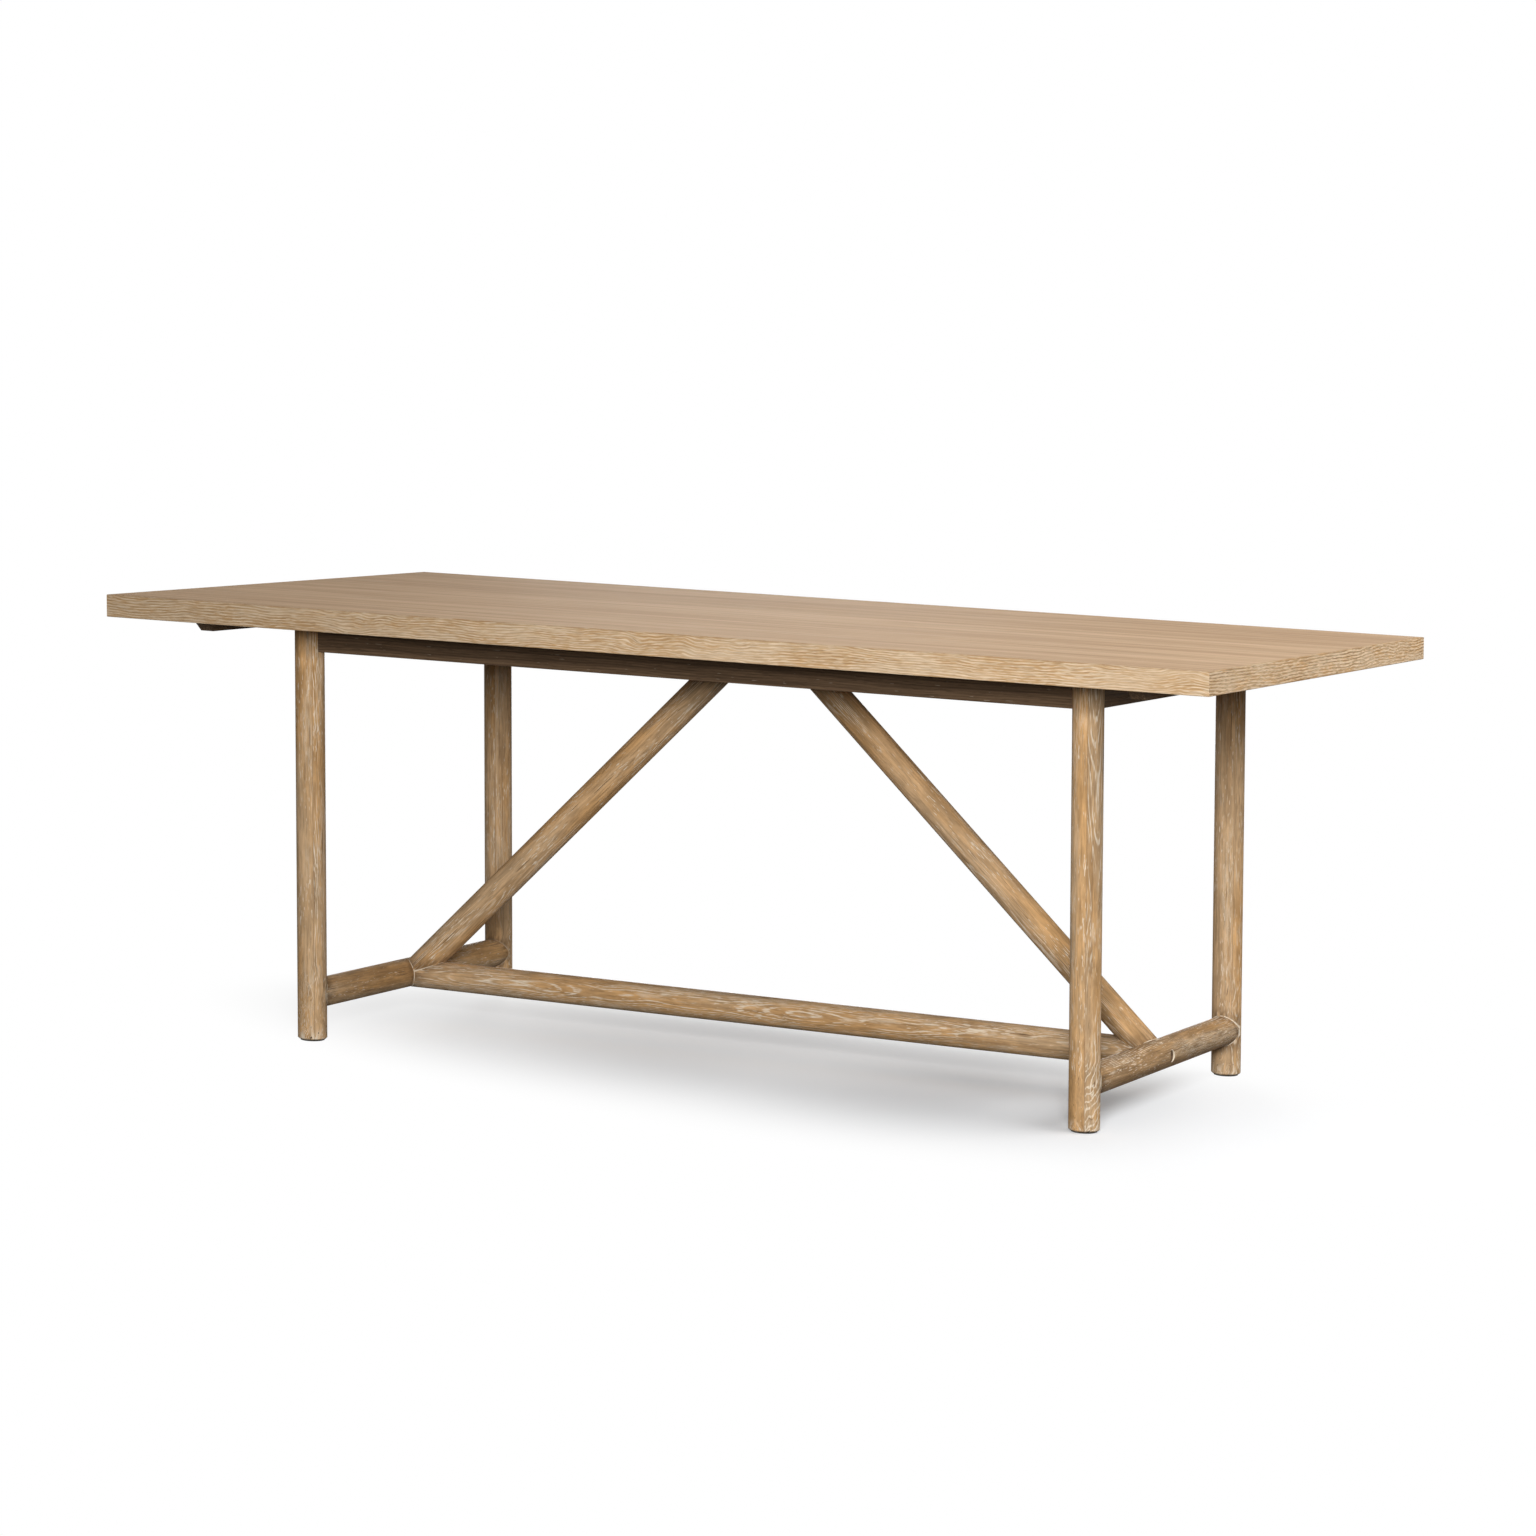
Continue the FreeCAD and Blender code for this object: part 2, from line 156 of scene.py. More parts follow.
class StageSettings(PropertyGroup):
    """Floor, lights and camera."""
    key_level: a_power("Front light", "Power of the front softbox", 325)
    top_level: a_power("Top light", "Power of the overhead softbox", 157)
    back_level: a_power("Back light", "Power of the softbox behind the table", 170)
    fill_level: a_share("Fill", "Strength of the light from all round", 0.040)
    floor_tone: a_share("Floor tone", "How pale the floor is where it lights the table", 0.08)
    camera_place: FloatVectorProperty(
        name="Camera place", description="Where the camera stands", subtype="TRANSLATION", unit="LENGTH",
        size=3, default=(3.2824, -6.8171, 1.2684))
    camera_turn: an_angle("Camera turn", "Heading of the camera, anticlockwise from the back", 0.44901)
    camera_tilt: an_angle("Camera tilt", "How far the camera looks down", 0.10110)
    camera_roll: an_angle("Camera roll", "Turn of the camera about its line of sight", 0.00292)
    picture_skew: a_share("Picture skew", "Upward slant of the level lines, uprights kept", 0.0326)
    lens: FloatProperty(name="Lens", description="Focal length on a 36 mm frame", unit="CAMERA", min=1,
                        default=104.04)


# Finishes as node trees

class Finish:
    """One material, with short ways to add nodes. Methods that make a value return its socket."""

    def __init__(self, name):
        self.material = bpy.data.materials.new(name)
        self.material.use_nodes = True
        self.tree = self.material.node_tree
        self.surface = next(node for node in self.tree.nodes if node.type == "BSDF_PRINCIPLED")
        self.place = self.add("ShaderNodeTexCoord").outputs["Object"]

    def add(self, kind, values=None, **settings):
        """A node with its settings, and its inputs set to values or joined to sockets."""
        node = self.tree.nodes.new(kind)
        for key, value in settings.items():
            setattr(node, key, value)
        for key, value in (values or {}).items():
            self.set(node.inputs[key], value)
        return node

    def set(self, socket, value):
        if isinstance(value, bpy.types.NodeSocket):
            self.tree.links.new(value, socket)
        else:
            socket.default_value = value

    def scalar(self, operation, *values):
        return self.add("ShaderNodeMath", dict(enumerate(values)), operation=operation).outputs[0]

    def vector(self, operation, *values):
        """A calculation with vectors, which may give a number."""
        node = self.add("ShaderNodeVectorMath", dict(enumerate(values)), operation=operation)
        return node.outputs["Value" if operation in ("DOT_PRODUCT", "LENGTH", "DISTANCE") else "Vector"]

    def plus(self, first, second):
        return self.scalar("ADD", first, second)

    def minus(self, first, second):
        return self.scalar("SUBTRACT", first, second)

    def product(self, first, *others):
        for other in others:
            first = self.scalar("MULTIPLY", first, other)
        return first

    def distance(self, value, level):
        """How far a number lies from a level, above or below."""
        return self.scalar("ABSOLUTE", self.minus(value, level))

    def join(self, x, y, z):
        return self.add("ShaderNodeCombineXYZ", {0: x, 1: y, 2: z}).outputs[0]

    def coordinate(self, axis):
        """The place along an axis of the table, numbered 0, 1 or 2."""
        return self.add("ShaderNodeSeparateXYZ", {0: self.place}).outputs[axis]

    def noise(self, at, scale=1.0, detail=2.0, roughness=0.5):
        values = {"Vector": at, "Scale": scale, "Detail": detail, "Roughness": roughness}
        return self.add("ShaderNodeTexNoise", values).outputs[0]

    def step(self, value, low, high, start=0.0, end=1.0):
        """A smooth change from start to end as value goes from low to high."""
        values = {"Value": value, "From Min": low, "From Max": high, "To Min": start, "To Max": end}
        return self.add("ShaderNodeMapRange", values, interpolation_type="SMOOTHSTEP").outputs[0]

    def fade(self, value, low, high):
        """A smooth fall from 1 to 0 as value goes from low to high."""
        return self.step(value, low, high, 1.0, 0.0)

    def mix(self, share, first, second):
        """A colour between two colours."""
        def paint(colour):
            return colour if isinstance(colour, bpy.types.NodeSocket) else (*colour, 1.0)
        node = self.add("ShaderNodeMix", {0: share, 6: paint(first), 7: paint(second)}, data_type="RGBA")
        return node.outputs[2]

    def coat(self, under, over, *shares):
        """A colour laid over another, as strongly as the product of the shares."""
        return self.mix(self.product(*shares), under, over)

    def shade(self, colour, value, low, high, start, end):
        """A colour scaled by a level that goes from start to end as value goes from low to high."""
        level = self.step(value, low, high, start, end)
        return self.add("ShaderNodeVectorMath", {0: colour, 3: level}, operation="SCALE").outputs["Vector"]

    def relief(self, height, depth, strength):
        """Bump of a real depth from a height between 0 and 1."""
        values = {"Height": height, "Distance": depth, "Strength": strength}
        self.set(self.surface.inputs["Normal"], self.add("ShaderNodeBump", values).outputs[0])

    def paint(self, colour, roughness, specular=0.3):
        """Gives the surface its colour and gloss."""
        self.set(self.surface.inputs["Base Color"], colour)
        self.set(self.surface.inputs["Roughness"], roughness)
        self.surface.inputs["Specular IOR Level"].default_value = specular
        return self.material


class Wood(Finish):
    """A finish with the grain of one board or bar: u and v lie across it and w along it, in metres."""

    def __init__(self, name, along, seed, origin=None):
        super().__init__(name)
        self.look = bpy.context.scene.oak_finish
        self.across = along.orthogonal().normalized() if abs(along.z) < 0.99 else X_AXIS.copy()
        self.third = along.cross(self.across)
        self.local = self.vector("SUBTRACT", self.place, tuple(origin or Vector()))
        self.u = self.vector("DOT_PRODUCT", self.local, tuple(self.across))
        self.v = self.vector("DOT_PRODUCT", self.local, tuple(self.third))
        self.w = self.vector("DOT_PRODUCT", self.local, tuple(along))
        # Every seed takes its noise from another region
        self.shift = Vector((17.3 * seed, 5.1 * seed + 2.0, 9.7 * seed))

    def streaks(self, width, length, layer, detail=2.0, roughness=0.5):
        """Noise drawn out along the grain, with features of this width and length in metres. The number of
        the layer keeps it apart from the others."""
        scaled = self.join(self.product(self.u, 1 / width), self.product(self.v, 1 / width),
                           self.product(self.w, 1 / length))
        at = self.vector("ADD", scaled, tuple(self.shift + Vector((layer, -layer, 2 * layer))))
        return self.noise(at, detail=detail, roughness=roughness)

    def drift(self, width, length, layer, detail, reach):
        """A sideways shift of up to about half of reach that changes slowly along the grain."""
        return self.product(self.minus(self.streaks(width, length, layer, detail), 0.5), reach)

    def bend(self, shift):
        """Moves the grain sideways."""
        self.u = self.plus(self.u, shift)
        self.v = self.plus(self.v, shift)

    def rings(self, spacing, heart, wander, length, other=None, other_heart=None):
        """Growth rings round a heart line that wanders along the bar: 0 where a ring starts, 1 at its end.
        Where other is 1 they run round another heart, as in a bar glued up from two pieces."""
        sides = []
        for here, axis, layer in ((self.u, self.across, 3.7), (self.v, self.third, 12.9)):
            place = self.minus(here, heart.dot(axis))
            if other is not None:
                place = self.minus(place, self.product(other, (other_heart - heart).dot(axis)))
            sides.append(self.plus(place, self.drift(0.11, length, layer, 2.0, wander)))
        radius = self.vector("LENGTH", self.join(sides[0], sides[1], 0.0))
        return self.scalar("FRACT", self.scalar("DIVIDE", radius, spacing))


OAK_GLOSS = 0.08
LIME_LINE = 0.92

# Legs are glued up from two pieces, which meet at an upright seam
SEAM_ACROSS = Vector((0.90, 0.43, 0)).normalized()
SEAM_ALONG = Vector((0.43, -0.90, 0)).normalized()
SEAM_SOFTNESS = 0.0003
SECOND_PIECE_SHIFT = 2.7
ARC_SPACING = 0.0125


class LegBlank(NamedTuple):
    """How a leg is glued up: how far its seam lies beside its axis, and for each of its two pieces the
    way to the heart of the tree, what is added to its pale patches, and its level, which sets the
    piece's tone and in part paints the shade that falls on it. lime_line is the strength of the lime along
    the leg's joint, and crown that of the limed arcs at its foot."""
    offset: float
    hearts: tuple
    pale: tuple
    levels: tuple
    lime_line: float
    crown: float = 0.0


# Levels under 1 are in part painted shade, as on the back left leg and the front right leg's second piece
LEG_BLANKS = {
    "front_left": LegBlank(0.006, (-0.09 * SEAM_ACROSS, -0.08 * SEAM_ALONG),
                           pale=(0.0, 0.08), levels=(1.0, 1.0), lime_line=0.45),
    "front_right": LegBlank(-0.002, (-0.10 * SEAM_ACROSS, -0.07 * SEAM_ALONG - 0.04 * SEAM_ACROSS),
                            pale=(-0.03, 0.08), levels=(1.04, 0.86), lime_line=0.45, crown=0.75),
    "back_left": LegBlank(-0.004, (-0.06 * SEAM_ALONG, 0.09 * SEAM_ACROSS),
                          pale=(0.02, 0.02), levels=(0.88, 0.88), lime_line=0.10),
    "back_right": LegBlank(0.006, (0.10 * SEAM_ACROSS, -0.06 * SEAM_ALONG - 0.05 * SEAM_ACROSS),
                           pale=(0.16, -0.02), levels=(1.0, 0.94), lime_line=0.95),
}


class RoundOak(Wood):
    """Brushed, aged oak of a round bar. Methods that take a colour lay more layers over it."""

    def __init__(self, name, along, seed, centre, blank):
        super().__init__(name, along, seed, centre)
        self.blank = blank
        self.other = None
        if blank:
            self.glue_up()
        self.fibre = self.streaks(0.0032, 0.060, 2.3, 2.0, 0.6)
        self.hair = self.streaks(self.look.pore_width, self.look.pore_length, 4.9, 1.0)

    def glue_up(self):
        """Parts a leg at its seam, shifts its second piece's grain and swirls the grain near its foot."""
        across = self.vector("DOT_PRODUCT", self.local, tuple(SEAM_ACROSS))
        self.beside = self.minus(across, self.blank.offset)
        self.other = self.by_piece(0.0, 1.0)
        self.w = self.plus(self.w, self.product(self.other, SECOND_PIECE_SHIFT))
        self.height = self.coordinate(2)
        swirl = self.drift(0.030, 0.045, 19.2, 1.0, reach=0.022)
        self.bend(self.product(swirl, self.fade(self.height, 0.05, 0.22)))

    def by_piece(self, first, second):
        """One value on a leg's first piece and another on its second."""
        return self.step(self.beside, -SEAM_SOFTNESS, SEAM_SOFTNESS, first, second)

    def near_round(self, point, along, radius, one_way=False):
        """Distance from the surface of a round bar that meets this one, in metres. A bar that goes one way
        starts at point."""
        local = self.vector("SUBTRACT", self.place, tuple(point))
        run = self.vector("DOT_PRODUCT", local, tuple(along))
        foot = self.add("ShaderNodeVectorMath", {0: tuple(along), 3: run}, operation="SCALE")
        offset = self.vector("SUBTRACT", local, foot.outputs["Vector"])
        gap = self.minus(self.vector("LENGTH", offset), radius)
        return self.plus(gap, self.fade(run, -0.002, 0.0)) if one_way else gap

    def bare_wood(self, heart, aged_and_shaded):
        """Gold and pale patches, brown bands, growth rings, fibres and mottles, all darker with the age
        setting, which is in part painted shade.
        """
        look = self.look
        other_heart = self.blank.hearts[1] if self.blank else None
        ring = self.rings(look.ring_spacing, heart, look.ring_wander, 0.30, self.other, other_heart)
        self.early = self.fade(self.distance(ring, 0.25), 0.08, 0.20)
        patch = self.streaks(0.050, 0.42, 1.1)
        if self.blank:
            patch = self.plus(patch, self.by_piece(*self.blank.pale))
        band = self.streaks(0.010, 0.46, 6.3, 3.0, 0.6)
        band = self.step(band, 0.50 - 0.10 * aged_and_shaded, 0.76 - 0.06 * aged_and_shaded)
        mottle = self.streaks(0.014, 0.055, 27.5, 3.0, 0.6)
        body = self.mix(self.step(patch, 0.38, 0.64), look.round_gold, look.round_pale)
        # Painted shade in part: the age setting browns the bands and darkens the fibres
        body = self.coat(body, look.round_brown, band, 0.60 + 0.15 * aged_and_shaded)
        body = self.coat(body, look.round_brown, self.step(ring, 0.45, 0.98), 0.18)
        body = self.shade(body, self.fibre, 0.28, 0.72, 0.84 - 0.26 * aged_and_shaded, 1.16 - 0.26 * aged_and_shaded)
        return self.shade(body, mottle, 0.34, 0.66, 0.84, 1.13)

    def wash(self, body, share):
        """Wash worn to patches, lime in the pores of the early wood, and clusters of limed flecks."""
        lime = self.look.limewash
        worn = self.streaks(0.016, 0.085, 8.8, 4.0, 0.65)
        body = self.coat(body, lime, self.step(worn, 0.70 - 0.20 * share, 0.86 - 0.20 * share), 0.42)
        zone = self.streaks(0.040, 0.26, 5.6)
        if self.blank:
            zone = self.plus(zone, self.product(self.other, 0.06))
        zone = self.step(zone, 0.62 - 0.36 * share, 0.74 - 0.36 * share)
        body = self.coat(body, lime, self.early, self.step(self.hair, 0.40, 0.56), zone, 0.90)
        cluster = self.step(self.streaks(0.030, 0.12, 12.4), 0.46, 0.62, 0.0, 0.09)
        flecks = self.plus(self.streaks(0.0017, 0.016, 15.1, 1.0), cluster)
        return self.coat(body, lime, self.step(flecks, 0.68, 0.76), 0.75)

    def pores_and_cracks(self, body):
        """Dark open pores and cracks, sunk between the fibres."""
        pores = self.product(self.step(self.hair, 0.60, 0.72), self.minus(1.0, self.early))
        cracks = self.step(self.streaks(0.0023, 0.11, 11.7, 1.0), 0.715, 0.745)
        sunk = self.plus(self.product(pores, 0.35), self.product(cracks, 0.6))
        self.relief(self.minus(self.product(self.fibre, 0.8), sunk), depth=0.0009, strength=0.7)
        body = self.coat(body, self.look.round_dark, pores, 0.30)
        return self.coat(body, self.look.round_dark, cracks, 0.75)

    def seam(self, body):
        """Levels of a leg's two pieces, their tone and in part painted shade, their glue line, and limed arcs
        low on the second one.
        """
        # Painted shade in part: each piece is scaled by its level
        body = self.shade(body, self.beside, -SEAM_SOFTNESS, SEAM_SOFTNESS, *self.blank.levels)
        glue_line = self.step(self.scalar("ABSOLUTE", self.beside), SEAM_SOFTNESS, 0.0011, 0.55, 0.0)
        body = self.coat(body, self.look.round_brown, glue_line)
        slant = self.product(self.beside, self.step(self.height, 0.03, 0.16, 0.9, 2.6))
        wander = self.drift(0.020, 0.030, 23.4, 1.0, reach=0.030)
        slope = self.plus(self.minus(self.height, slant), wander)
        arc = self.distance(self.scalar("FRACT", self.scalar("DIVIDE", slope, ARC_SPACING)), 0.5)
        arc = self.product(self.fade(arc, 0.08, 0.18), self.step(self.hair, 0.36, 0.52))
        low = self.step(self.height, 0.09, 0.15, self.blank.crown, 0.0)
        inside = self.product(self.step(self.beside, 0.0005, 0.0020), low)
        return self.coat(body, self.look.limewash, arc, inside)

    def beside_joints(self, body, joints, lime_line):
        """Dirt and painted shade beside the bars that meet this one, and a broken line of lime."""
        gap = self.near_round(*joints[0])
        for joint in joints[1:]:
            gap = self.scalar("MINIMUM", gap, self.near_round(*joint))
        broken = self.streaks(0.008, 0.016, 7.2)
        # Painted shade with dirt: the wood darkens within about 2 cm of each joint, broken up by noise
        dirt_and_shade = self.product(self.fade(gap, 0.001, 0.022), self.step(broken, 0.30, 0.62))
        body = self.coat(body, self.look.round_dark, dirt_and_shade, 0.62)
        lime = self.product(self.fade(gap, 0.0007, 0.0019), self.step(broken, 0.37, 0.50))
        return self.coat(body, self.look.limewash, lime, lime_line)

    def plug_hole(self, body, plug):
        """Lime and a painted highlight on the far wall of a plug's hole, the side that faces the light."""
        rim = self.fade(self.scalar("ABSOLUTE", self.near_round(*plug)), 0.0006, 0.0014)
        # Painted highlight with lime: only the far side of the hole's wall turns pale
        return self.coat(body, self.look.limewash, rim, self.step(self.w, -0.002, 0.003))

    def foot(self, body):
        """Scuffed lime and small nicks round the foot of a leg."""
        scuff = self.step(self.streaks(0.009, 0.016, 9.1, 3.0, 0.6), 0.44, 0.60)
        body = self.coat(body, self.look.limewash, self.fade(self.height, 0.004, 0.026), scuff, 0.70)
        nick = self.step(self.streaks(0.008, 0.008, 2.9, 1.0), 0.66, 0.72)
        return self.coat(body, self.look.round_dark, nick, self.fade(self.height, 0.006, 0.040))


def round_oak(name, along, seed, centre, heart, joints, blank=None, aged_and_shaded=0.0, wash=None, plug=None,
              lime_line=LIME_LINE):
    """Aged oak of a round bar. heart points from its middle to the heart of the tree. joints hold the lines
    and radii of the bars that meet it, and plug those of its plug hole. blank tells how a leg is glued up.
    The age setting, from 0 to 1, browns and darkens the bar, in part for age and in part as painted shade.
    wash is the share that the wash covers, and lime_line the strength of the lime along the joints."""
    oak = RoundOak(name, along, seed, centre, blank)
    body = oak.bare_wood(heart, aged_and_shaded)
    body = oak.wash(body, oak.look.wash_share if wash is None else wash)
    body = oak.pores_and_cracks(body)
    if blank:
        body = oak.seam(body)
    body = oak.beside_joints(body, joints, lime_line)
    if plug:
        body = oak.plug_hole(body, plug)
    if blank:
        body = oak.foot(body)
    return oak.paint(body, oak.step(oak.fibre, 0.3, 0.7, 0.66, 0.82), OAK_GLOSS)


FIRST_STRIP = 0.031


def face_oak(name, seed, strip_width):
    """Smooth sawn oak in strips along the table, each strip with its own tone and grain."""
    f = Wood(name, X_AXIS, seed)
    look = f.look
    across = f.plus(f.coordinate(1), 10 * strip_width + FIRST_STRIP)
    strip = f.scalar("FLOOR", f.scalar("DIVIDE", across, strip_width))
    number = f.plus(strip, 3.3 * seed)
    tone = f.add("ShaderNodeTexWhiteNoise", {"W": number}, noise_dimensions="1D").outputs[0]
    f.w = f.plus(f.w, f.product(tone, 7.0))
    f.v = f.plus(f.v, f.product(tone, 0.9))
    ring = f.rings(spacing=0.0085, heart=Vector((0, 0, -0.3)), wander=0.060, length=0.55)
    broad = f.streaks(0.075, 0.80, 1.4, 3.0, 0.55)
    streak = f.streaks(0.0085, 0.55, 2.6, 3.0, 0.6)
    fibre = f.streaks(0.0026, 0.13, 4.4, 2.0, 0.6)
    pores = f.step(f.streaks(look.pore_width, 0.016, 6.6, 1.0), 0.60, 0.72)
    share = f.plus(f.product(f.step(broad, 0.30, 0.70), 0.50), f.product(tone, 0.20))
    share = f.plus(share, f.product(f.step(streak, 0.42, 0.72), 0.75))
    share = f.plus(share, f.product(f.step(ring, 0.40, 1.0), 0.12))
    body = f.mix(share, look.top_light, look.top_dark)
    body = f.shade(body, fibre, 0.25, 0.75, 0.90, 1.10)
    body = f.coat(body, look.top_dark, pores, 0.20)
    pale = f.step(f.streaks(0.005, 0.18, 8.3), 0.60, 0.76)
    body = f.coat(body, look.limewash, pale, 0.30)
    raised = f.product(f.minus(1.0, pores), 0.5)
    f.relief(f.plus(f.product(fibre, 0.5), raised), depth=0.0003, strength=0.5)
    return f.paint(body, f.step(fibre, 0.3, 0.7, 0.66, 0.80), OAK_GLOSS)


def edge_oak(name, seed, along, wave, darkness, gold, painted_light_levels):
    """Deeply brushed and limed oak of a lipping: hair-thin pale and dark lines along wavy rings, over
    golden wood. wave is how far the lines sway. darkness and gold, from 0 to 1, are the depths of the dark
    lines and of the golden patches. The levels of the strip's colour at its start and end are painted
    light and shade: the front strip darker towards its left end and the end strips lighter."""
    f = Wood(name, along, seed)
    look = f.look
    reach = f.step(f.streaks(0.30, 0.45, 3.3, 0.0), 0.42, 0.62, 0.35 * wave, wave)
    f.bend(f.drift(0.06, 0.11, 3.1, 2.0, reach))
    ring = f.rings(spacing=0.0036, heart=Vector((0, 0, -0.20)), wander=0.014, length=0.30)
    early = f.fade(f.distance(ring, 0.30), 0.10, 0.28)
    late = f.fade(f.distance(ring, 0.80), 0.06, 0.20)
    hair = f.streaks(0.0012, 0.019, 7.7, 1.0)
    fibre = f.streaks(0.0015, 0.030, 5.5, 2.0, 0.6)
    broad = f.step(f.streaks(0.022, 0.12, 1.2), 0.34, 0.66, 0.08, 0.52)
    body = f.mix(broad, look.edge_middle, look.edge_light)
    patches = f.step(f.streaks(0.018, 0.085, 21.3), 0.52, 0.64)
    body = f.coat(body, look.round_gold, patches, gold)
    dark_zone = f.step(f.streaks(0.05, 0.22, 13.5), 0.35, 0.65, 0.35, 1.0)
    dark_fibre = f.step(fibre, 0.46 - 0.16 * darkness, 0.62 - 0.14 * darkness)
    dark_lines = f.product(late, dark_fibre, dark_zone)
    body = f.coat(body, look.edge_dark, dark_lines, darkness)
    lime_zone = f.step(f.streaks(0.03, 0.16, 16.2), 0.30, 0.60, 0.55, 1.0)
    body = f.coat(body, look.edge_light, early, f.step(hair, 0.38, 0.54), lime_zone)
    strokes = f.step(f.streaks(0.0013, 0.020, 9.9, 1.0), 0.55, 0.64)
    body = f.coat(body, look.edge_light, strokes, 0.60)
    scratches = f.step(f.streaks(0.0012, 0.024, 18.4, 1.0), 0.58, 0.68)
    body = f.coat(body, look.edge_dark, scratches, 0.6 * darkness)
    body = f.shade(body, fibre, 0.25, 0.75, 0.88, 1.12)
    # Painted light and shade: the strip's colour changes from one end to the other as the light falls on it
    body = f.shade(body, f.w, -1.0, 0.35, *painted_light_levels)
    arris = f.step(f.coordinate(2), top_surface - 0.0026, top_surface - 0.0004)
    body = f.coat(body, look.edge_dark, arris, 0.40)
    sunk = f.plus(f.product(dark_lines, 0.5), f.product(scratches, 0.3))
    f.relief(f.minus(f.product(fibre, 0.6), sunk), depth=0.0007, strength=0.6)
    return f.paint(body, f.step(fibre, 0.3, 0.7, 0.70, 0.84), OAK_GLOSS)


def rail_oak(name, along, seed):
    """Planed dark oak of the flat rails and battens, its darkness in part painted shade."""
    f = Wood(name, along, seed)
    look = f.look
    ring = f.rings(spacing=0.0042, heart=Vector((0.05, 0.05, -0.08)), wander=0.020, length=0.35)
    streak = f.streaks(0.007, 0.38, 2.2, 3.0, 0.6)
    fibre = f.streaks(0.0022, 0.07, 4.1, 2.0, 0.6)
    pores = f.step(f.streaks(look.pore_width, look.pore_length, 6.0, 1.0), 0.58, 0.70)
    share = f.plus(f.product(f.step(streak, 0.35, 0.70), 0.55), f.product(f.step(ring, 0.4, 1.0), 0.35))
    body = f.mix(share, look.rail_light, look.rail_dark)
    body = f.shade(body, fibre, 0.25, 0.75, 0.80, 1.20)
    body = f.coat(body, look.rail_dark, pores, 0.6)
    scratch = f.step(f.streaks(0.0016, 0.014, 8.6, 0.0), 0.80, 0.84)
    body = f.coat(body, look.limewash, scratch, 0.30)
    f.relief(f.plus(fibre, f.product(pores, -0.6)), depth=0.0005, strength=0.6)
    return f.paint(body, f.step(fibre, 0.3, 0.7, 0.66, 0.80), OAK_GLOSS)


def plain_wood(name, along, seed, colour, fleck_width, fleck_length):
    """Raw wood of a hidden piece: soft streaks, and short flecks of half its colour."""
    f = Wood(name, along, seed)
    streak = f.streaks(0.005, 0.12, 1.5, 3.0, 0.6)
    fleck = f.step(f.streaks(fleck_width, fleck_length, 3.5, 1.0), 0.60, 0.70)
    body = f.shade(tuple(colour), streak, 0.3, 0.7, 0.82, 1.12)
    body = f.coat(body, tuple(0.5 * part for part in colour), fleck, 0.35)
    f.relief(streak, depth=0.0003, strength=0.4)
    return f.paint(body, f.step(streak, 0.3, 0.7, 0.60, 0.74))


def zinc_steel(name):
    """Bright zinc on steel, slightly cloudy, with fine turning marks."""
    f = Finish(name)
    cloud = f.noise(f.place, 260.0, 4.0, 0.6)
    marks = f.noise(f.vector("MULTIPLY", f.place, (3000.0, 3000.0, 400.0)), 1.0, 1.0)
    body = f.shade(tuple(bpy.context.scene.table_hardware.zinc), cloud, 0.3, 0.7, 0.82, 1.06)
    f.relief(marks, depth=0.00004, strength=0.4)
    f.surface.inputs["Metallic"].default_value = 1.0
    return f.paint(body, f.step(cloud, 0.3, 0.7, 0.28, 0.46), specular=0.5)


def pressed_felt(name):
    """Dark pressed wool felt with loose fibres."""
    f = Finish(name)
    wool = f.noise(f.place, 1500.0, 4.0, 0.7)
    tuft = f.noise(f.place, 320.0, 3.0, 0.6)
    body = f.shade(tuple(bpy.context.scene.table_hardware.felt), wool, 0.3, 0.7, 0.55, 1.6)
    body = f.shade(body, tuft, 0.3, 0.7, 0.75, 1.25)
    f.relief(wool, depth=0.0006, strength=0.8)
    f.surface.inputs["Sheen Weight"].default_value = 0.35
    f.surface.inputs["Sheen Roughness"].default_value = 0.6
    return f.paint(body, f.step(wool, 0.3, 0.7, 0.85, 1.0), specular=0.1)


def dress(node, material):
    """Gives a piece of the frame its finish."""
    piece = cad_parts[node]
    piece.data.materials.clear()
    piece.data.materials.append(material)


# Finishing the pieces of the frame

class TABLE_OT_finish_top(Operator):
    """Gives the upper and lower faces of the top their smooth oak"""
    bl_idname = "trestle_table.finish_top"
    bl_label = "Top faces"

    def execute(self, context):
        dress("upper_face", face_oak("smooth_oak_upper_face", seed=1, strip_width=0.133))
        dress("lower_face", face_oak("smooth_oak_lower_face", seed=2, strip_width=0.178))
        return {"FINISHED"}


# The levels at each strip's ends paint light and shade: the front strip darker to the left, the ends lighter
LIPPINGS = {
    "front": dict(along=X_AXIS, wave=0.030, darkness=0.50, gold=0.25, painted_light_levels=(0.85, 1.03)),
    "back": dict(along=X_AXIS, wave=0.030, darkness=0.50, gold=0.25, painted_light_levels=(0.92, 1.02)),
    "left": dict(along=Y_AXIS, wave=0.014, darkness=0.80, gold=0.40, painted_light_levels=(1.05, 1.15)),
    "right": dict(along=Y_AXIS, wave=0.014, darkness=1.0, gold=0.60, painted_light_levels=(0.96, 1.18)),
}


class TABLE_OT_finish_lippings(Operator):
    """Gives the four edge strips of the top their brushed oak"""
    bl_idname = "trestle_table.finish_lippings"
    bl_label = "Lippings"

    def execute(self, context):
        for seed, (side, strip) in enumerate(LIPPINGS.items(), start=1):
            node = side + "_lipping"
            dress(node, edge_oak("brushed_oak_" + node, seed, **strip))
        return {"FINISHED"}


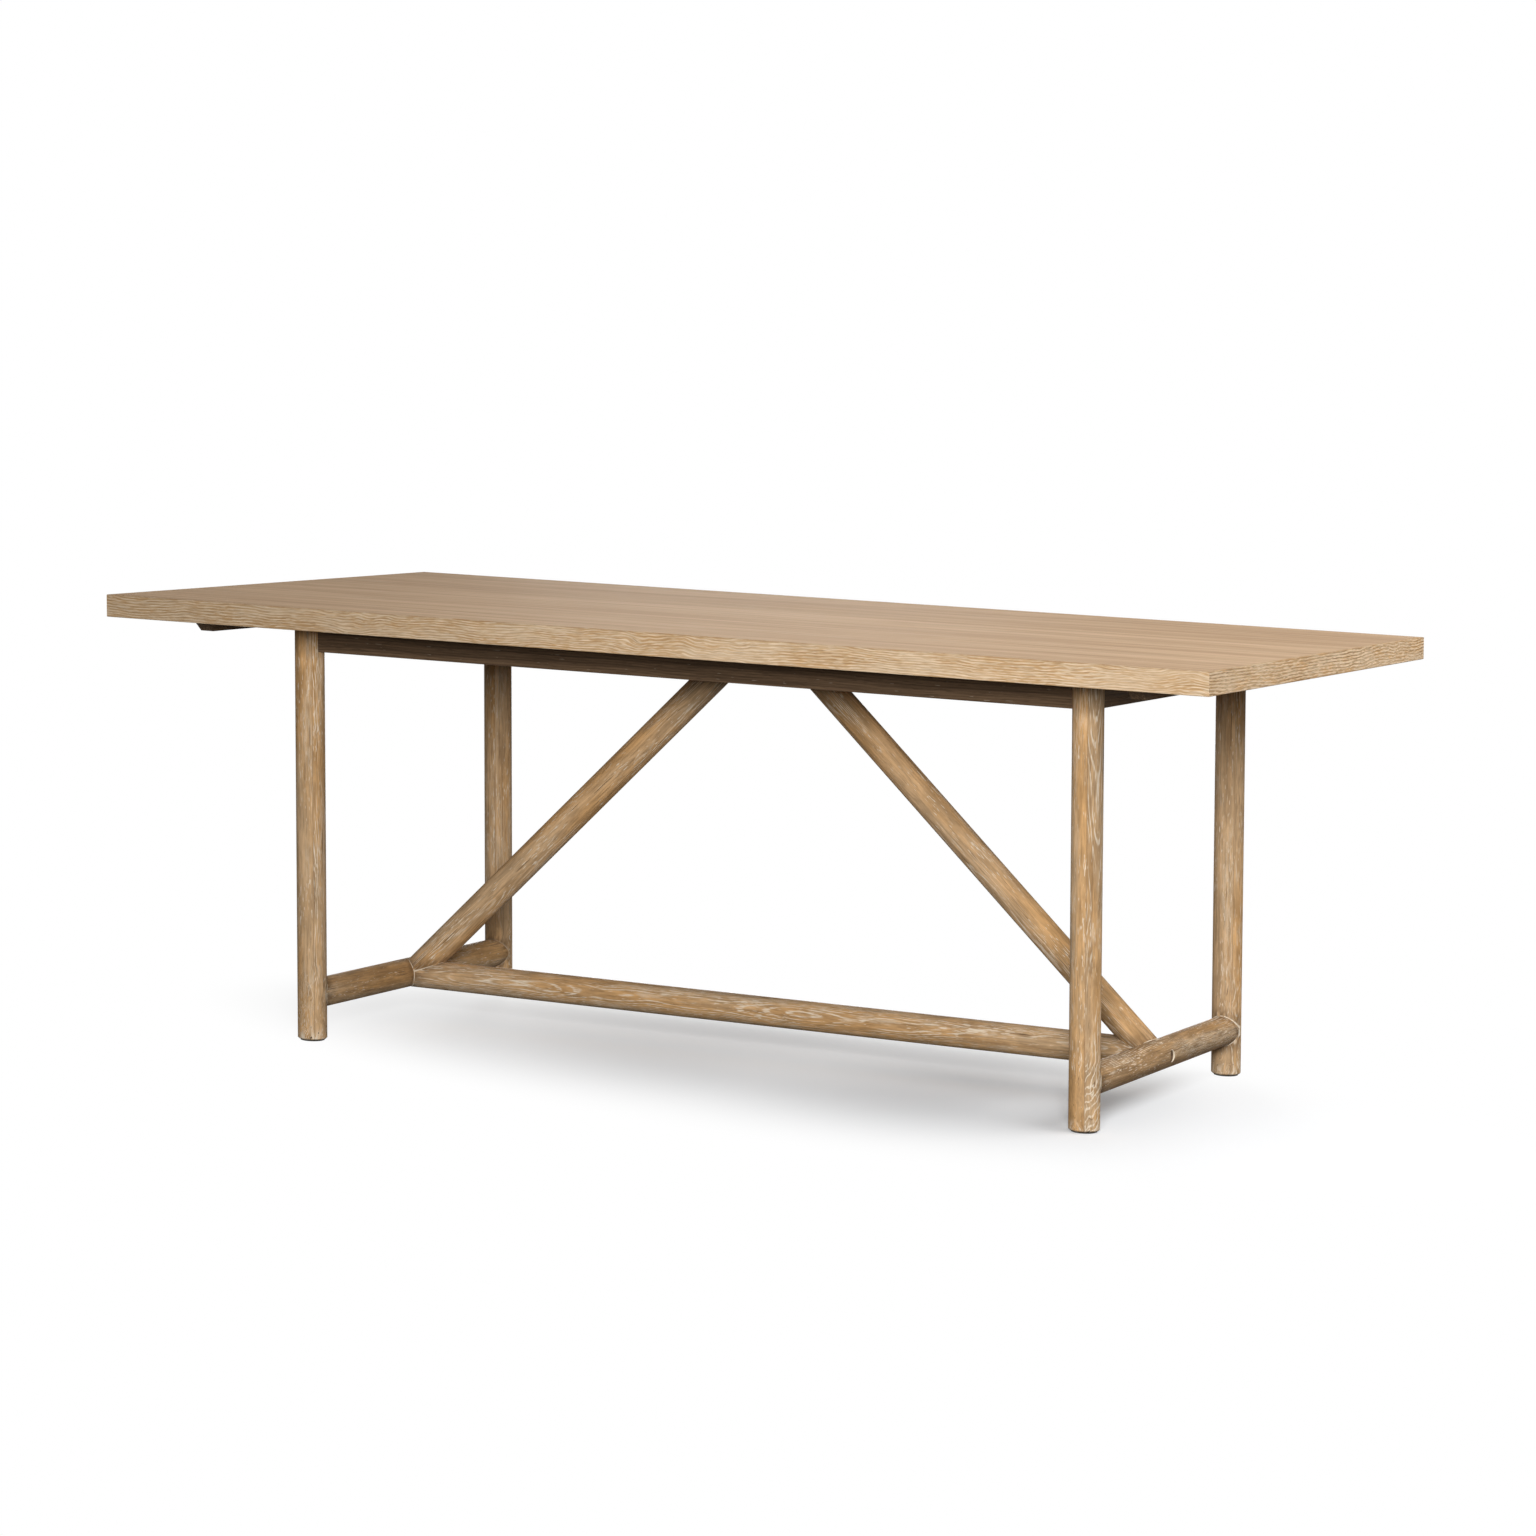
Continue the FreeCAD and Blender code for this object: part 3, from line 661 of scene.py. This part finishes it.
class TABLE_OT_finish_legs(Operator):
    """Gives the four round legs their aged oak"""
    bl_idname = "trestle_table.finish_legs"
    bl_label = "Legs"

    def execute(self, context):
        for seed, (corner, blank) in enumerate(LEG_BLANKS.items(), start=1):
            node = corner + "_leg"
            place = middle(node)
            inward = Y_AXIS if place.y < 0 else -Y_AXIS
            joint = (Vector((place.x, place.y, stretcher_level)), inward, cross_radius, True)
            oak = round_oak("aged_oak_" + node, Z_AXIS, seed, place, blank.hearts[0], [joint], blank=blank,
                            lime_line=blank.lime_line)
            dress(node, oak)
        return {"FINISHED"}


class TABLE_OT_finish_stretchers(Operator):
    """Gives the cross stretchers, the long stretcher and the bolt plugs their aged oak"""
    bl_idname = "trestle_table.finish_stretchers"
    bl_label = "Stretchers"

    def execute(self, context):
        heart_below = Vector((0.02, 0, -0.09))
        heart_behind = Vector((0, 0.075, -0.015))
        # The age settings darken the cross stretchers, the right one most, in part as painted shade
        for seed, side, aged_and_shaded, lime_line in ((5, "left", 0.35, 0.40), (6, "right", 1.0, LIME_LINE)):
            node = side + "_cross_stretcher"
            place = middle(node)
            inward = X_AXIS if place.x < 0 else -X_AXIS
            legs = [Vector((place.x, reach, 0)) for reach in (-leg_place.y, leg_place.y)]
            joints = [(leg, Z_AXIS, leg_radius) for leg in legs]
            joints.append((place, inward, long_radius, True))
            plug = (place, -inward, plug_radius, True)
            oak = round_oak("aged_oak_" + node, Y_AXIS, seed, place, heart_below, joints, aged_and_shaded=aged_and_shaded,
                            plug=plug, lime_line=lime_line)
            dress(node, oak)
        ends = [Vector((reach, 0, stretcher_level)) for reach in (-cross_place.x, cross_place.x)]
        joints = [(end, Y_AXIS, cross_radius) for end in ends]
        joints += [(start, along, brace_radius, True) for start, along in brace_lines()]
        place = middle("long_stretcher")
        oak = round_oak("aged_oak_long_stretcher", X_AXIS, 7, place, heart_behind, joints, wash=0.75)
        dress("long_stretcher", oak)
        dress("bolt_plugs", rail_oak("dark_oak_bolt_plugs", Y_AXIS, 8))
        return {"FINISHED"}


def brace_lines():
    """A point at the foot and the upward direction of each brace's axis, left then right."""
    points = [vertex.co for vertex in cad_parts["right_brace"].data.vertices]
    side = [point for point in points if point.y > 0.98 * brace_radius]
    foot = max(side, key=lambda point: point.x)
    head = min(side, key=lambda point: point.x)
    start = Vector((foot.x, 0, foot.z))
    along = (Vector((head.x, 0, head.z)) - start).normalized()
    mirror = Vector((-1, 1, 1))
    return [(start * mirror, along * mirror), (start, along)]


class TABLE_OT_finish_braces(Operator):
    """Gives the two diagonal braces their aged oak"""
    bl_idname = "trestle_table.finish_braces"
    bl_label = "Braces"

    def execute(self, context):
        long_joint = (Vector((0, 0, stretcher_level)), X_AXIS, long_radius)
        sides = ((9, "left", -1), (10, "right", 1))
        for (seed, side, sign), (start, along) in zip(sides, brace_lines()):
            node = side + "_brace"
            cross_joint = (Vector((sign * cross_place.x, 0, stretcher_level)), Y_AXIS, cross_radius)
            heart = Vector((0.03 * sign, 0.07, 0.03))
            joints = [long_joint, cross_joint]
            dress(node, round_oak("aged_oak_" + node, along, seed, start, heart, joints, wash=0.35))
        return {"FINISHED"}


class TABLE_OT_finish_rails(Operator):
    """Gives the flat rails and the battens their dark oak, darkened in part as painted shade"""
    bl_idname = "trestle_table.finish_rails"
    bl_label = "Rails and battens"

    def execute(self, context):
        along_table = ("front_rail", "back_rail")
        across_table = ("left_end_rail", "right_end_rail", "centre_rail", "left_batten", "right_batten")
        for seed, node in enumerate(along_table + across_table, start=1):
            along = X_AXIS if node in along_table else Y_AXIS
            dress(node, rail_oak("dark_oak_with_painted_shade_" + node, along, seed))
        return {"FINISHED"}


class TABLE_OT_finish_hidden_wood(Operator):
    """Gives the core board, dowels and loose tenons their raw wood"""
    bl_idname = "trestle_table.finish_hidden_wood"
    bl_label = "Core, dowels and tenons"

    def execute(self, context):
        kit = context.scene.table_hardware
        core = plain_wood("raw_core_board", X_AXIS, 1, kit.core, fleck_width=0.0030, fleck_length=0.030)
        dress("top_core", core)
        lines = {"stretcher_dowels": Y_AXIS, "brace_foot_dowels": Z_AXIS, "long_rail_tenons": X_AXIS,
                 "end_rail_tenons": Y_AXIS, "centre_rail_tenons": Y_AXIS, "brace_head_tenon": X_AXIS}
        for seed, (node, along) in enumerate(lines.items(), start=2):
            beech = plain_wood("raw_beech_" + node, along, seed, kit.beech, fleck_width=0.0006,
                               fleck_length=0.0025)
            dress(node, beech)
        return {"FINISHED"}


class TABLE_OT_finish_bolts(Operator):
    """Gives the bolts, washers and barrel nuts their zinc"""
    bl_idname = "trestle_table.finish_bolts"
    bl_label = "Bolts, washers and nuts"

    def execute(self, context):
        zinc = zinc_steel("bright_zinc")
        for node in ("stretcher_bolts", "bolt_washers", "barrel_nuts"):
            dress(node, zinc)
        return {"FINISHED"}


# Pieces built here

def new_piece(name, mesh_builder, material, replaced):
    """A new piece from a filled mesh builder, riding on the table and standing for a node of the frame."""
    mesh = bpy.data.meshes.new(name)
    bmesh.ops.recalc_face_normals(mesh_builder, faces=mesh_builder.faces)
    mesh_builder.to_mesh(mesh)
    mesh_builder.free()
    mesh.materials.append(material)
    piece = bpy.data.objects.new(name, mesh)
    bpy.context.scene.collection.objects.link(piece)
    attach(piece, BODY)
    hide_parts(replaced)
    return piece


def ring_of(builder, radius, height, sides, ripple=None):
    """A ring of points about the upright axis, with an optional ripple of its radius."""
    ring = []
    for index in range(sides):
        angle = 2 * math.pi * index / sides
        reach = radius * (1 + (ripple(angle) if ripple else 0))
        ring.append(builder.verts.new((reach * math.cos(angle), reach * math.sin(angle), height)))
    return ring


def bridge(builder, *rings):
    """Faces between each ring of points and the next."""
    for lower, upper in zip(rings, rings[1:]):
        count = len(lower)
        for index in range(count):
            after = (index + 1) % count
            builder.faces.new((lower[index], lower[after], upper[after], upper[index]))


def upright_axes(node, reach):
    """Where the upright pieces of a node stand, found by gathering points within reach of each other."""
    groups = []
    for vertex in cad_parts[node].data.vertices:
        spot = vertex.co.xy
        near = [group for group in groups if (group[0] - spot).length < reach]
        if near:
            near[0].append(spot)
        else:
            groups.append([spot])
    return [sum(group, Vector((0, 0))) / len(group) for group in groups]


def cross_outline(reach, half_width):
    """The twelve corners of an upright cross, anticlockwise."""
    quarter = [(reach, -half_width), (reach, half_width), (half_width, half_width)]
    corners = []
    for _ in range(4):
        corners += quarter
        quarter = [(-y, x) for x, y in quarter]
    return corners


SCREW_SIDES = 28
# A pan head from its lower rim to its seat, in shares of its radius and height
PAN_HEAD = ((0.70, 0.0), (0.88, 0.10), (0.97, 0.30), (1.0, 0.55), (1.0, 1.0))


def pan_head_screw(builder, spot, bottom, tip, kit):
    """An upright screw, its pan head with a cross recess below and its thread and point above."""
    head = kit.screw_head / 2
    height = kit.screw_head_height
    core = kit.screw_core / 2
    thread = kit.screw_thread / 2
    seat = bottom + height
    profile = [(reach * head, bottom + rise * height) for reach, rise in PAN_HEAD]
    profile.append((thread, seat))
    level = seat + 2 * kit.screw_pitch
    while level < tip - 3 * kit.screw_pitch:
        profile += [(core, level), (thread, level + 0.5 * kit.screw_pitch)]
        level += kit.screw_pitch
    profile += [(core, level), (0.1 * core, tip)]
    rings = [ring_of(builder, radius, rise, SCREW_SIDES) for radius, rise in profile]
    bridge(builder, *rings)
    builder.faces.new(rings[-1])
    half_width = kit.recess_width / 2
    corners = cross_outline(kit.recess_reach, half_width)
    mouth = [builder.verts.new((x, y, bottom)) for x, y in corners]
    corners = cross_outline(0.75 * kit.recess_reach, 0.8 * half_width)
    bed = [builder.verts.new((x, y, bottom + kit.recess_depth)) for x, y in corners]
    bridge(builder, mouth, bed)
    builder.faces.new(bed)
    rim = []
    for loop in (rings[0], mouth):
        for pair in zip(loop[-1:] + loop, loop):
            rim.append(builder.edges.get(pair) or builder.edges.new(pair))
    bmesh.ops.triangle_fill(builder, use_beauty=True, edges=rim)
    made = [vertex for ring in rings for vertex in ring] + mouth + bed
    bmesh.ops.translate(builder, verts=made, vec=(spot.x, spot.y, 0))


class TABLE_OT_make_screws(Operator):
    """Builds the pan-head screws that hold the top to the rails and the battens to the top"""
    bl_idname = "trestle_table.make_screws"
    bl_label = "Screws"

    def execute(self, context):
        kit = context.scene.table_hardware
        zinc = zinc_steel("screw_zinc")
        for node in ("rail_screws", "batten_screws"):
            low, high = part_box(node)
            builder = bmesh.new()
            for spot in upright_axes(node, 1.5 * kit.screw_head):
                pan_head_screw(builder, spot, low.z, high.z, kit)
            new_piece("pan_head_" + node, builder, zinc, node)
        return {"FINISHED"}


class TABLE_OT_make_felt_pads(Operator):
    """Builds a pressed felt pad with a soft rim under each leg"""
    bl_idname = "trestle_table.make_felt_pads"
    bl_label = "Felt pads"

    def execute(self, context):
        kit = context.scene.table_hardware
        felt = pressed_felt("pressed_felt")
        low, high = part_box("foot_pads")
        thickness = high.z - low.z
        radius = high.x - leg_place.x
        flat = 1 - kit.pad_edge / radius
        rim = 0.3 * kit.pad_edge
        profile = [(0.35, 0.0), (0.70, 0.0), (flat, 0.0), (0.992, rim), (0.996, 0.5 * thickness),
                   (0.990, thickness - rim), (flat, thickness), (0.60, thickness)]
        for number, corner in enumerate(LEG_BLANKS):
            place = middle(corner + "_leg")
            builder = bmesh.new()

            def ripple(angle, phase=1.3 * number):
                return -0.004 + 0.002 * math.sin(7 * angle + phase) + 0.002 * math.sin(17 * angle + 2 * phase)

            rings = [ring_of(builder, share * radius, height, kit.pad_sides, ripple)
                     for share, height in profile]
            bridge(builder, *rings)
            builder.faces.new(list(reversed(rings[0])))
            builder.faces.new(rings[-1])
            bmesh.ops.translate(builder, verts=builder.verts, vec=(place.x, place.y, low.z))
            pad = new_piece("felt_pad_" + corner, builder, felt, "foot_pads")
            pad.data.shade_smooth()
        return {"FINISHED"}


# Stage

# Softboxes: where each hangs, what it points at, its width and its height
FRONT_SOFTBOX = ((2.65, -5.6, 1.85), (0, 0, 0.5), 1.4, 1.4)
TOP_SOFTBOX = ((2.55, 0.35, 3.4), (0.5, 0, 0.7), 4.4, 4.0)
BACK_SOFTBOX = ((-2.6, 5.4, 0.72), (0, 0, 0.5), 1.5, 0.9)

# The shaded part of the floor: its middle, how fast it falls off along and across the table, where it
# fades to white, and where and how strongly a glow lifts it
SHADE_MIDDLE = (0.15, -0.07, 0)
SHADE_LENGTHWISE = (0.66, 0, 0)
SHADE_CROSSWISE = (0.25, 1.45, 0)
SHADE_FADE = (0.20, 0.92)
GLOW_ENDS = (-0.08, 0.23)
GLOW_LEVELS = (0.26, 0.06)
FLOOR_COLOUR = (0.905, 0.92, 0.94, 1)
FLOOR_REACH = 30.0
SENSOR_WIDTH = 36.0


def area_light(name, place, target, width, height, power):
    """A soft rectangular lamp that the camera does not see."""
    data = bpy.data.lights.new(name, "AREA")
    data.shape = "RECTANGLE"
    data.size = width
    data.size_y = height
    data.energy = power
    lamp = bpy.data.objects.new(name, data)
    bpy.context.scene.collection.objects.link(lamp)
    lamp.location = place
    lamp.rotation_euler = (Vector(target) - Vector(place)).to_track_quat("-Z", "Y").to_euler()
    lamp.visible_camera = False


def seen_ray(tree):
    """1 for rays from the camera, and for those that a glossy or clear surface sends on."""
    path = tree.nodes.new("ShaderNodeLightPath")
    total = path.outputs["Is Camera Ray"]
    for kind in ("Is Glossy Ray", "Is Transmission Ray"):
        node = tree.nodes.new("ShaderNodeMath")
        node.operation = "MAXIMUM"
        tree.links.new(total, node.inputs[0])
        tree.links.new(path.outputs[kind], node.inputs[1])
        total = node.outputs[0]
    return total


def studio_world(fill):
    """Even light from all round, with a white background."""
    world = bpy.data.worlds.new("studio_light")
    bpy.context.scene.world = world
    world.use_nodes = True
    tree = world.node_tree
    background = next(node for node in tree.nodes if node.type == "BACKGROUND")
    background.inputs["Color"].default_value = WHITE
    level = tree.nodes.new("ShaderNodeMapRange")
    level.inputs["To Min"].default_value = fill
    level.inputs["To Max"].default_value = 1.0
    tree.links.new(seen_ray(tree), level.inputs["Value"])
    tree.links.new(level.outputs[0], background.inputs["Strength"])


def floor_finish(tone):
    """A pale floor that keeps the table's shadow and turns to plain white away from it."""
    f = Finish("pale_floor")
    tree = f.tree
    tree.nodes.remove(f.surface)
    output = next(node for node in tree.nodes if node.type == "OUTPUT_MATERIAL")
    centred = f.vector("SUBTRACT", f.place, SHADE_MIDDLE)
    lengthwise = f.vector("DOT_PRODUCT", centred, SHADE_LENGTHWISE)
    crosswise = f.vector("DOT_PRODUCT", centred, SHADE_CROSSWISE)
    away = f.step(f.vector("LENGTH", f.join(lengthwise, crosswise, 0.0)), *SHADE_FADE)
    glow_level = f.step(lengthwise, *GLOW_ENDS, *GLOW_LEVELS)
    lit = f.add("ShaderNodeBsdfDiffuse", {"Color": FLOOR_COLOUR}).outputs[0]
    glow = f.add("ShaderNodeEmission", {"Color": WHITE, "Strength": glow_level}).outputs[0]
    shadowed = f.add("ShaderNodeAddShader", {0: lit, 1: glow}).outputs[0]
    white = f.add("ShaderNodeEmission", {"Color": WHITE, "Strength": 1.0}).outputs[0]
    seen = f.add("ShaderNodeMixShader", {0: away, 1: shadowed, 2: white}).outputs[0]
    unseen = f.add("ShaderNodeBsdfDiffuse", {"Color": (tone, tone, tone, 1)}).outputs[0]
    mixed = f.add("ShaderNodeMixShader", {0: seen_ray(tree), 1: unseen, 2: seen}).outputs[0]
    tree.links.new(mixed, output.inputs["Surface"])
    return f.material


def studio_floor(tone):
    half = FLOOR_REACH
    mesh = bpy.data.meshes.new("floor")
    corners = [(-half, -half, 0), (half, -half, 0), (half, half, 0), (-half, half, 0)]
    mesh.from_pydata(corners, [], [(0, 1, 2, 3)])
    mesh.materials.append(floor_finish(tone))
    floor = bpy.data.objects.new("floor", mesh)
    bpy.context.scene.collection.objects.link(floor)


def studio_camera(stage):
    """The camera on a stand, whose parent link slants the picture's level lines and keeps its uprights."""
    turn, tilt, roll = stage.camera_turn, stage.camera_tilt, stage.camera_roll
    level_right = Vector((math.cos(turn), math.sin(turn), 0))
    level_ahead = Vector((-math.sin(turn), math.cos(turn), 0))
    ahead = level_ahead * math.cos(tilt) - Z_AXIS * math.sin(tilt)
    level_up = Z_AXIS * math.cos(tilt) + level_ahead * math.sin(tilt)
    right = level_right * math.cos(roll) + level_up * math.sin(roll)
    up = level_up * math.cos(roll) - level_right * math.sin(roll)
    stand = bpy.data.objects.new("camera_stand", None)
    stand.matrix_world = Matrix((right, up, -ahead)).transposed().to_4x4()
    stand.location = stage.camera_place
    data = bpy.data.cameras.new("camera")
    data.sensor_width = SENSOR_WIDTH
    data.lens = stage.lens
    camera = bpy.data.objects.new("camera", data)
    for item in (stand, camera):
        bpy.context.scene.collection.objects.link(item)
    camera.parent = stand
    slant = Matrix.Identity(4)
    slant[1][0] = stage.picture_skew
    camera.matrix_parent_inverse = slant
    bpy.context.scene.camera = camera


class TABLE_OT_set_stage(Operator):
    """Lays the floor, hangs the lights and sets up the camera"""
    bl_idname = "trestle_table.set_stage"
    bl_label = "Floor, lights and camera"

    def execute(self, context):
        stage = context.scene.table_stage
        context.scene.view_settings.view_transform = "Standard"
        studio_world(stage.fill_level)
        studio_floor(stage.floor_tone)
        area_light("front_softbox", *FRONT_SOFTBOX, stage.key_level)
        area_light("top_softbox", *TOP_SOFTBOX, stage.top_level)
        area_light("back_softbox", *BACK_SOFTBOX, stage.back_level)
        studio_camera(stage)
        return {"FINISHED"}


# Registration

OPERATORS = (TABLE_OT_finish_top, TABLE_OT_finish_lippings, TABLE_OT_finish_legs,
             TABLE_OT_finish_stretchers, TABLE_OT_finish_braces, TABLE_OT_finish_rails,
             TABLE_OT_finish_hidden_wood, TABLE_OT_finish_bolts, TABLE_OT_make_screws,
             TABLE_OT_make_felt_pads, TABLE_OT_set_stage)


class TABLE_PT_trestle(Panel):
    """Lists the steps that finish the table"""
    bl_idname = "TABLE_PT_trestle"
    bl_label = "Trestle Table"
    bl_space_type = "VIEW_3D"
    bl_region_type = "UI"
    bl_category = "Trestle Table"

    def draw(self, context):
        for operator in OPERATORS:
            self.layout.operator(operator.bl_idname)


SETTINGS = {"oak_finish": OakFinishSettings, "table_hardware": HardwareSettings,
            "table_stage": StageSettings}
CLASSES = (*SETTINGS.values(), *OPERATORS, TABLE_PT_trestle)


def register():
    for item in CLASSES:
        bpy.utils.register_class(item)
    for name, group in SETTINGS.items():
        setattr(bpy.types.Scene, name, PointerProperty(type=group))


def unregister():
    for name in SETTINGS:
        delattr(bpy.types.Scene, name)
    for item in reversed(CLASSES):
        bpy.utils.unregister_class(item)


def main():
    register()
    for operator in OPERATORS:
        group, step = operator.bl_idname.split(".")
        getattr(getattr(bpy.ops, group), step)()


if __name__ == "__main__":
    main()
